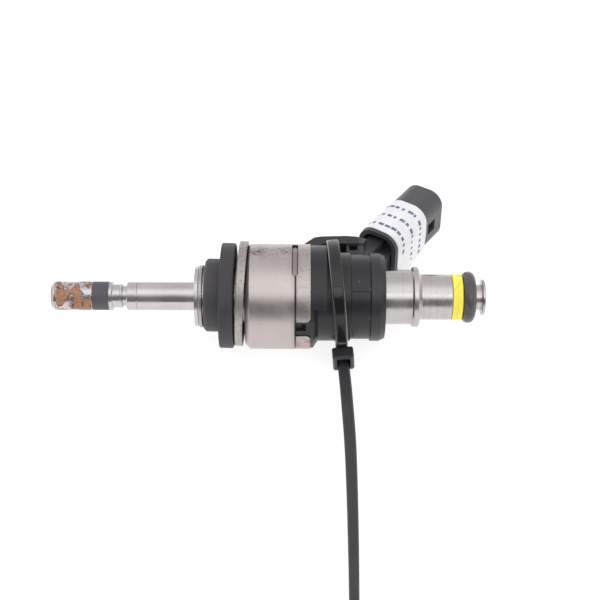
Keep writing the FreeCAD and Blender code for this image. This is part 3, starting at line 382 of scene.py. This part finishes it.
# nozzle: brown and orange combustion deposits on the front, clean ground shank behind
def nozzle_extra(g, base, rgh):
    ang, x = radial_angle(g)
    front = g.between(x, -0.0214, -0.0212, 1.0, 0.0)
    cap_end = g.between(x, -0.0289, -0.0284)
    blotch = g.noise(1.0, 4.0, 0.55, g.scaled((300.0, 330.0, 330.0), location=(0.35, 0.9, 0.2)), distortion=0.5)
    # one ring of crust near the end, one larger patch before the seal
    ring_a = window(g, x, -0.0285, -0.0270, 0.0004)
    ring_b = window(g, x, -0.0248, -0.0212, 0.0007)
    lean = g.math("ADD", blotch, g.math("MULTIPLY", g.math("MAXIMUM", ring_a, ring_b), 0.15))
    fine = g.noise(1700.0, 5.0, 0.7)
    ragged = g.math("ADD", lean, g.math("MULTIPLY", g.math("SUBTRACT", fine, 0.5), 0.06))
    zone = g.math("MULTIPLY", front, cap_end)
    crust = g.math("MULTIPLY", g.between(ragged, 0.592, 0.612), zone)
    tint = g.ramp(fine, [(0.30, (0.27, 0.115, 0.050)), (0.46, (0.40, 0.19, 0.095)), (0.60, (0.47, 0.25, 0.14)), (0.75, (0.60, 0.38, 0.25))])
    base = g.mix(g.math("MULTIPLY", crust, 0.95), base, tint)
    rim = g.math("MULTIPLY", window(g, ragged, 0.578, 0.622, 0.010), zone)
    rim = g.math("MULTIPLY", rim, g.between(g.noise(800.0, 3.0, 0.6), 0.34, 0.50))
    base = g.mix(g.math("MULTIPLY", rim, 0.9), base, (0.095, 0.035, 0.022))
    haze = g.math("MULTIPLY", g.math("MULTIPLY", front, g.between(blotch, 0.38, 0.62)), 0.35)
    haze = g.math("MULTIPLY", haze, g.math("SUBTRACT", 1.0, crust))
    base = g.mix(haze, base, (0.62, 0.50, 0.42))
    black = g.math("MULTIPLY", zone, g.between(g.noise(1050.0, 3.0, 0.55, distortion=1.2), 0.64, 0.69))
    base = g.mix(black, base, (0.03, 0.024, 0.024))
    # darker end face and its corner, and a thin dark line round the tip near its end
    end = g.between(x, -0.02955, -0.0292, 1.0, 0.0)
    base = g.mix(g.math("MULTIPLY", end, 0.72), base, (0.10, 0.085, 0.085))
    ring_line = window(g, x, -0.0288, -0.02865, 0.00008)
    base = g.mix(g.math("MULTIPLY", ring_line, 0.6), base, (0.12, 0.09, 0.08))
    rgh = g.math("ADD", rgh, g.math("MULTIPLY", g.math("ADD", crust, haze), 0.40))
    metal = g.math("SUBTRACT", 1.0, g.math("MULTIPLY", crust, 0.9))
    g.crust = (crust, metal, fine)
    return base, rgh


STEEL = (0.62, 0.595, 0.58)
m_shell = turned_metal("Housing_steel", (0.50, 0.457, 0.447), 0.33, 0.08, 0.22, extra=shell_extra, edge=0.00018, streak=0.018)
m_nozzle = turned_metal("Nozzle_steel", (0.56, 0.535, 0.545), 0.175, 0.06, 0.10, extra=nozzle_extra, edge=0.00010, streak=0.02)
crust, metal, fine = m_nozzle.crust
m_nozzle.put(m_nozzle.p.inputs["Metallic"], metal)
lump = m_nozzle.math("ADD", m_nozzle.math("MULTIPLY", crust, 1.0), m_nozzle.math("MULTIPLY", m_nozzle.math("MULTIPLY", crust, fine), 1.2))
old = m_nozzle.p.inputs["Normal"].links[0].from_socket
m_nozzle.set(normal=m_nozzle.bump(lump, 0.8, 0.00006, old))
m_inlet = turned_metal("Inlet_steel", (0.515, 0.49, 0.485), 0.25, 0.12, 0.14, edge=0.00014, lines_scale=1500.0)
m_washer = turned_metal("Washer_steel", (0.40, 0.39, 0.39), 0.26, 0.2, 0.2, edge=0.0001)
m_inner = turned_metal("Inner_steel", (0.52, 0.52, 0.53), 0.28, 0.3, 0.05)
m_spring = turned_metal("Spring_steel", (0.42, 0.42, 0.44), 0.30, 0.1, 0.05)


def ring_extra(g, base, rgh):
    spots = g.between(g.noise(1900.0, 6.0, 0.78), 0.52, 0.66)
    base = g.mix(g.math("MULTIPLY", spots, 0.62), base, (0.10, 0.092, 0.085))
    rgh = g.math("ADD", rgh, g.math("MULTIPLY", spots, 0.25))
    return base, rgh


m_tol = turned_metal("Tolerance_ring_steel", (0.44, 0.415, 0.40), 0.42, 0.3, 0.5, extra=ring_extra, edge=0.00015)


def mould_extra(g, base, rgh):
    # the plug and its neck are a little paler than the barrel
    s = g.xyz()
    far = g.between(s["Y"], 0.0080, 0.0115)
    further = g.between(s["Y"], 0.013, 0.020)
    behind = g.math("MULTIPLY", far, g.between(s["X"], 0.0335, 0.0350))
    base = g.mix(g.math("MULTIPLY", behind, 0.80), base, (0.075, 0.075, 0.086))
    base = g.mix(g.math("MULTIPLY", further, 0.45), base, (0.085, 0.085, 0.100))
    # painted shade: the lower front of the barrel is darkened
    low = g.math("MULTIPLY", g.between(s["Z"], -0.0095, -0.002, 1.0, 0.0), g.between(s["Y"], 0.0, 0.004, 1.0, 0.0))
    base = g.mix(g.math("MULTIPLY", low, 0.7), base, (0.006, 0.006, 0.008))
    # painted highlight: a lighter band round the rear of the barrel stands in for its sheen
    rear_painted_sheen = window(g, s["X"], 0.0360, 0.0400, 0.0002)
    base = g.mix(g.math("MULTIPLY", rear_painted_sheen, 0.35), base, (0.040, 0.040, 0.046))
    return base, rgh


def hub_extra(g, base, rgh):
    s = g.xyz()
    small = g.between(s["X"], 0.0050, 0.0056, 1.0, 0.0)
    return g.mix(g.math("MULTIPLY", small, 0.5), base, (0.085, 0.078, 0.088)), rgh


def moulded(name, colour, rough, grain=1.0, dust=0.05, edge=0.00018, coat=0.0, tone=0.25, light=(0.30, 0.30, 0.31),
            scuff=0.15, extra=None):
    g = Graph(name)
    small = g.noise(7000.0, 3.0, 0.6)
    cloud = g.noise(260.0, 4.0, 0.6)
    base = g.mix(g.between(cloud, 0.3, 0.7), tuple(c * (1 - tone) for c in colour), tuple(c * (1 + tone) for c in colour))
    base = g.mix(g.math("MULTIPLY", g.between(small, 0.55, 0.75), 0.25), base, tuple(min(1, c * 1.9) for c in colour))
    rub = g.math("MULTIPLY", g.between(g.noise(1.0, 4.0, 0.6, g.scaled((300.0, 900.0, 900.0))), 0.60, 0.76), scuff)
    base = g.mix(rub, base, light)
    lint = g.specks(900.0, dust, 0.085)
    lint2 = g.specks(2100.0, dust * 0.7, 0.12)
    base = g.mix(g.math("MAXIMUM", lint, g.math("MULTIPLY", lint2, 0.6)), base, (0.55, 0.54, 0.52))
    rgh = g.math("ADD", g.between(cloud, 0.3, 0.7, rough - 0.05, rough + 0.06), g.math("MULTIPLY", rub, 0.3))
    height = g.math("ADD", g.math("MULTIPLY", small, 0.5 * grain), g.math("MULTIPLY", g.noise(1500.0, 3.0, 0.6), 0.6 * grain))
    if extra is not None:
        base, rgh = extra(g, base, rgh)
    g.set(color=base, rough=rgh, spec=0.5, coat=coat, coat_rough=0.25,
          normal=g.bump(height, 0.35, 0.00003, g.soft_edges(edge)))
    return g


m_mould = moulded("Overmould_nylon", (0.013, 0.013, 0.017), 0.37, 1.0, 0.05, tone=0.20, scuff=0.06, extra=mould_extra)
m_damper = moulded("Damper_polymer", (0.044, 0.042, 0.048), 0.58, 1.3, 0.03, tone=0.18, scuff=0.06, edge=0.00022, extra=hub_extra)
m_ptfe = moulded("Seal_ptfe", (0.092, 0.088, 0.105), 0.50, 0.5, 0.01, tone=0.10, scuff=0.10, edge=0.0001)
m_bobbin = moulded("Bobbin_polymer", (0.06, 0.06, 0.06), 0.5)
# painted light: the tie's one nylon is made as three copies, the head and the strap painted lighter and the loop
# painted darker, standing in for how each part is lit
m_tie_head_painted_lighter = moulded("Tie_head_nylon_painted_lighter", (0.045, 0.045, 0.052), 0.36, 0.5, 0.02, tone=0.15, scuff=0.08, edge=0.0001)


def band_extra(g, base, rgh):
    # distance from the loop's own centre line: a painted highlight on the channel's walls, and painted shade on its
    # glossy floor
    s = g.xyz()
    dy = g.math("SUBTRACT", s["Y"], UP.y * 0.00074)
    dz = g.math("SUBTRACT", s["Z"], UP.z * 0.00074)
    dist = g.math("SQRT", g.math("ADD", g.math("MULTIPLY", dy, dy), g.math("MULTIPLY", dz, dz)))
    channel_floor_painted_shade = g.between(dist, 0.01058, 0.01062, 1.0, 0.0)
    painted_wall_shade_and_highlight = window(g, dist, 0.01064, 0.01094, 0.00003)
    base = g.mix(channel_floor_painted_shade, base, (0.006, 0.006, 0.008))
    base = g.mix(g.math("MULTIPLY", painted_wall_shade_and_highlight, 0.55), base, (0.42, 0.42, 0.43))
    rgh = g.mix(channel_floor_painted_shade, rgh, (0.16, 0.16, 0.16))
    return base, rgh


# painted shade: the loop's copy of the nylon is darker, and the strap's copy lighter
m_tie_band_painted_darker = moulded("Tie_loop_nylon_painted_darker", (0.010, 0.010, 0.013), 0.32, 0.5, 0.015, tone=0.15, scuff=0.05, edge=0.0001, extra=band_extra)
m_tie_tail_painted_lighter = moulded("Tie_strap_nylon_painted_lighter", (0.034, 0.034, 0.040), 0.40, 0.5, 0.02, tone=0.12, scuff=0.10, edge=0.00006)
m_yellow = moulded("Backup_ring_polymer", (0.99, 0.90, 0.12), 0.38, 0.4, 0.02, tone=0.05, light=(0.95, 0.9, 0.6), scuff=0.2, edge=0.00015)
m_oring = moulded("O_ring_rubber", (0.092, 0.080, 0.086), 0.26, 0.5, 0.03, tone=0.25, light=(0.20, 0.13, 0.12), scuff=0.25)

# painted light: a faint yellow glow makes the backup ring brighter, though it is no lamp
m_yellow.p.inputs["Emission Color"].default_value = (1.0, 0.80, 0.10, 1)
m_yellow.p.inputs["Emission Strength"].default_value = 0.14

g = Graph("Winding_copper")
wire = g.node("ShaderNodeTexWave", wave_type="BANDS", bands_direction="X")
g.l.new(g.obj(), wire.inputs["Vector"])
wire.inputs["Scale"].default_value = 1000.0
wire.inputs["Distortion"].default_value = 0.4
g.set(color=g.mix(wire.outputs["Fac"], (0.30, 0.11, 0.04), (0.78, 0.36, 0.17)), metal=0.9, rough=g.between(wire.outputs["Fac"], 0, 1, 0.4, 0.25),
      normal=g.bump(wire.outputs["Fac"], 0.6, 0.00006))
m_wind = g
g = Graph("Filter_mesh")
chk = g.node("ShaderNodeTexWave", wave_type="BANDS", bands_direction="DIAGONAL")
g.l.new(g.obj(), chk.inputs["Vector"])
chk.inputs["Scale"].default_value = 1600.0
g.set(color=g.mix(chk.outputs["Fac"], (0.25, 0.25, 0.25), (0.6, 0.6, 0.58)), metal=0.8, rough=g.between(g.noise(900.0), 0.3, 0.7, 0.3, 0.5),
      normal=g.bump(chk.outputs["Fac"], 0.6, 0.00005))
m_filter = g
m_term = turned_metal("Terminal_tin", (0.74, 0.73, 0.70), 0.28, 0.1, 0.1, edge=0.00005)

LOOKS = {
    "valve_seat": m_nozzle, "nozzle_body": m_nozzle, "retaining_washer": m_washer, "combustion_seal": m_ptfe,
    "damper_ring": m_damper, "tolerance_ring": m_tol, "housing_shell": m_shell, "overmould": m_mould,
    "inlet_tube": m_inlet, "backup_ring": m_yellow, "inlet_o_ring": m_oring, "coil_bobbin": m_bobbin,
    "coil_winding": m_wind, "fuel_filter": m_filter, "terminal_a": m_term, "terminal_b": m_term,
    "cable_tie_band": m_tie_band_painted_darker, "cable_tie_head": m_tie_head_painted_lighter, "cable_tie_tail": m_tie_tail_painted_lighter, "return_spring": m_spring,
}
for name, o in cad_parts.items():
    look = LOOKS.get(name, m_inner).m
    if not o.material_slots:
        o.data.materials.append(look)
    for s in o.material_slots:
        s.material = look


# ------------------------------------------------------------------ label: paper sheet with a flap
def paper():
    g = Graph("Label_paper")
    s = g.xyz(g.uv())
    u = g.math("MULTIPLY", s["X"], 100.0)     # millimetres round the plug
    v = g.math("MULTIPLY", s["Y"], 100.0)     # millimetres along the plug
    base = g.mix(g.between(g.noise(300.0, 4.0, 0.6), 0.3, 0.7), (0.84, 0.86, 0.90), (0.93, 0.94, 0.97))
    ink_all = None
    for row, (v0, first, last, seed) in enumerate(((19.9, 13.0, 27.9, 3.1), (23.5, 12.4, 31.4, 7.7), (27.0, 14.0, 32.2, 5.3))):
        cell = g.node("ShaderNodeTexWhiteNoise", noise_dimensions="1D")
        pitch = 1.55
        pos = g.math("DIVIDE", u, pitch)
        whole = g.math("FLOOR", pos)
        g.l.new(g.math("ADD", whole, seed), cell.inputs["W"])
        part = g.math("SUBTRACT", pos, whole)
        span = g.between(cell.outputs["Value"], 0.0, 1.0, 0.30, 0.84, smooth=False)
        on = g.math("LESS_THAN", part, span)
        rows = window(g, v, v0 - 0.40, v0 + 0.40, 0.05)
        limits = window(g, u, first, last, 0.05)
        ink = g.math("MULTIPLY", g.math("MULTIPLY", on, rows), limits)
        ink_all = ink if ink_all is None else g.math("MAXIMUM", ink_all, ink)
    faded = g.math("MULTIPLY", ink_all, g.between(g.noise(1400.0, 3.0, 0.6), 0.25, 0.6, 0.55, 0.92))
    base = g.mix(faded, base, (0.030, 0.040, 0.16))
    height = g.math("ADD", g.noise(160.0, 3.0, 0.5), g.math("MULTIPLY", g.noise(4200.0, 2.0, 0.5), 0.06))
    g.set(color=base, rough=g.between(g.noise(700.0), 0.3, 0.7, 0.42, 0.58), spec=0.4, sss=0.0,
          normal=g.bump(height, 0.30, 0.00030))
    return g


m_paper = paper()


def section(w, t, r, steps=10):
    """Rounded rectangle, from the middle of the underside towards +x, back to the start."""
    pts = [(0.0, -t)]
    for cx, cy, a0 in ((w - r, -t + r, -90), (w - r, t - r, 0), (-w + r, t - r, 90), (-w + r, -t + r, 180)):
        for i in range(steps + 1):
            a = math.radians(a0 + 90.0 * i / steps)
            pts.append((cx + r * math.cos(a), cy + r * math.sin(a)))
    pts.append((0.0, -t))
    return pts


def lengths(pts):
    out = [0.0]
    for p, q in zip(pts, pts[1:]):
        out.append(out[-1] + math.hypot(q[0] - p[0], q[1] - p[1]))
    return out


def grid_sheet(name, rows, uvs, material, thick):
    """rows: a list of equal-length rows of points in metres; uvs the same shape."""
    n = len(rows[0])
    verts = [p for row in rows for p in row]
    flat = [c for row in uvs for c in row]
    faces = []
    for i in range(len(rows) - 1):
        for j in range(n - 1):
            a = i * n + j
            faces.append((a, a + 1, a + n + 1, a + n))
    o = mesh_object(name, verts, faces, True, material)
    layer = o.data.uv_layers.new(name="UVMap")
    for poly in o.data.polygons:
        for li in poly.loop_indices:
            layer.data[li].uv = flat[o.data.loops[li].vertex_index]
    solid = o.modifiers.new("Thickness", "SOLIDIFY")
    solid.thickness = thick
    solid.offset = 0.0
    return o


S_A, S_B = 17.8, 29.7
wrap = section(4.6 + 0.10, 6.0 + 0.10, 3.3 + 0.10)
run = lengths(wrap)
side_from = len(wrap) - 13          # the middle corner's end, at the top of the -x side
top_part, top_run = wrap[:side_from + 1], run[:side_from + 1]
rows, uvs = [], []
for i in range(33):
    f = i / 32.0
    row, uv = [], []

    def along(u, f):
        # the front edge is cut slightly askew, and the paper is not quite even
        s0 = S_A + 0.25 * math.sin(u * 0.21)
        s1 = S_B - 0.9 * max(0.0, (20.0 - u) / 20.0) + 0.12 * math.sin(u * 0.5)
        return s0 + (s1 - s0) * f

    for (px, py), u in zip(top_part, top_run):
        s = along(u, f)
        k = 1.0 + 0.05 / 6.0 * math.sin(u * 0.55 + 1.0) * math.sin(math.pi * f)
        row.append(con(px * k, py * k, s))
        uv.append((u / 100.0, s / 100.0))
    x0, y0 = top_part[-1]
    for j in range(1, 21):
        s = along(top_run[-1] + 8.0 * j / 20.0, f)
        low = max(-6.35 + (s - 23.9) * 0.50, -9.1)
        y = y0 + (low - y0) * j / 20.0
        curl = 0.05 * max(0.0, -y - 2.8) ** 1.5 + 0.10 * math.sin(0.8 * s) * max(0.0, -y - 3.0) / 3.0
        out = 0.06 * math.sin(math.pi * f) * math.sin(math.pi * j / 20.0)
        row.append(con(x0 - out + curl, y, s))
        uv.append(((top_run[-1] + y0 - y) / 100.0, s / 100.0))
    rows.append(row)
    uvs.append(uv)
label_wrap = grid_sheet("Label_sheet", rows, uvs, m_paper.m, 0.00010)
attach(label_wrap, "injector")
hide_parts("label")

# the sheet's other end, under the plug and a little way up inside the flap
inner = [(0.0, -6.07), (-1.30, -6.07)] + [
    (-1.30 + 3.34 * math.cos(math.radians(270 - 9 * k)), -2.70 + 3.37 * math.sin(math.radians(270 - 9 * k)))
    for k in range(1, 10)]
inner_run = lengths(inner)
rows, uvs = [], []
for i in range(25):
    s = S_A + 0.1 + (S_B - 0.7 - S_A) * i / 24.0
    rows.append([con(px, py, s) for px, py in inner])
    uvs.append([(u / 100.0, s / 100.0) for u in inner_run])
label_inner = grid_sheet("Label_inner_layer", rows, uvs, m_paper.m, 0.00006)
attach(label_inner, "injector")

# ------------------------------------------------------------------ cable tie's strap
TAIL = [(2.9, 30.13, 2.34), (0.0, 30.38, 2.38), (-5.07, 30.78, 2.42), (-11.95, 31.18, 2.42), (-21.4, 31.59, 2.36),
        (-30.44, 31.72, 2.24), (-43.27, 31.72, 2.07), (-55.31, 31.6, 1.9), (-64.6, 31.42, 1.84),
        (-68.1, 31.35, 0.8)]


def spline(table, y):
    """Smooth value through the table's rows (Catmull-Rom on y)."""
    for k in range(len(table) - 1):
        if table[k][0] >= y >= table[k + 1][0]:
            break
    p1, p2 = table[k], table[k + 1]
    p0 = table[max(k - 1, 0)]
    p3 = table[min(k + 2, len(table) - 1)]
    h = p2[0] - p1[0]
    t = (y - p1[0]) / h
    out = []
    for c in (1, 2):
        m1 = (p2[c] - p0[c]) / (p2[0] - p0[0]) * h
        m2 = (p3[c] - p1[c]) / (p3[0] - p1[0]) * h if k < len(table) - 2 else (p2[c] - p1[c])
        out.append((2 * t ** 3 - 3 * t ** 2 + 1) * p1[c] + (t ** 3 - 2 * t ** 2 + t) * m1
                   + (-2 * t ** 3 + 3 * t ** 2) * p2[c] + (t ** 3 - t ** 2) * m2)
    return out


verts, faces = [], []
tilt = math.radians(1.2)
steps = 355
for i in range(steps + 1):
    y = 2.9 - 71.0 * i / steps
    x, w = spline(TAIL, y) if y > -64.6 else (None, None)
    if x is None:
        f = (-64.6 - y) / 3.5
        x, w = 31.42 - 0.07 * f, 1.84 - 1.04 * f ** 1.6
    tooth = 0.10 if (i % 4) in (1, 2) else 0.0
    half = 0.5 * w
    for px, pz in ((-half, -0.34), (-half, 0.16), (-half * 0.72, 0.50), (-half * 0.62, 0.525), (half * 0.62, 0.525),
                   (half * 0.72, 0.50), (half, 0.16), (half, -0.34), (half * 0.72, -0.52),
                   (half * 0.60, -0.52 + tooth), (-half * 0.60, -0.52 + tooth), (-half * 0.72, -0.52)):
        verts.append(Vector((x + px, -8.0 + y * math.cos(tilt) - pz * math.sin(tilt),
                             -9.3 + y * math.sin(tilt) + pz * math.cos(tilt))) * MM)
n = 12
for i in range(steps):
    for j in range(n):
        a, b = i * n + j, i * n + (j + 1) % n
        faces.append((a, b, b + n, a + n))
faces.append(tuple(range(n)))
faces.append(tuple(range(steps * n, steps * n + n))[::-1])
strap = mesh_object("Tie_strap", verts, faces, False, m_tie_tail_painted_lighter.m)
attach(strap, "injector")
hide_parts("cable_tie_tail")

# ------------------------------------------------------------------ backup ring, cut on a slant
profile = [(52.80, 2.70), (52.80, 4.70), (52.95, 4.85), (54.65, 4.85), (54.80, 4.70), (54.80, 2.70)]
verts, faces = [], []
rounds = 144
gap = 1.7
for i in range(rounds + 1):
    for x, r in profile:
        f = (x - 52.8) / 2.0
        d = around(13.0 + 37.0 * f + 0.5 * gap + (360.0 - gap) * i / rounds)
        verts.append(Vector((x, 0, 0)) * MM + d * r * MM)
n = len(profile)
for i in range(rounds):
    for j in range(n):
        a, b = i * n + j, i * n + (j + 1) % n
        faces.append((a, a + n, b + n, b))
faces.append(tuple(range(n)))
faces.append(tuple(range(rounds * n, rounds * n + n))[::-1])
ring = mesh_object("Backup_ring_split", verts, faces, False, m_yellow.m)
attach(ring, "injector")
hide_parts("backup_ring")


# ------------------------------------------------------------------ floor
fg = Graph("Studio_floor")
fg.set(color=fg.mix(fg.between(fg.noise(6.0, 2.0), 0.3, 0.7), (0.30, 0.30, 0.30), (0.34, 0.34, 0.34)),
       rough=fg.between(fg.noise(30.0), 0.3, 0.7, 0.75, 0.9), spec=0.1)
fg.p.inputs["Emission Color"].default_value = (1.0, 0.985, 0.985, 1)
fg.p.inputs["Emission Strength"].default_value = 0.86
z = -0.01135
floor = mesh_object("Floor", [(-6, -6, z), (6, -6, z), (6, 6, z), (-6, 6, z)], [(0, 1, 2, 3)], False, fg.m)
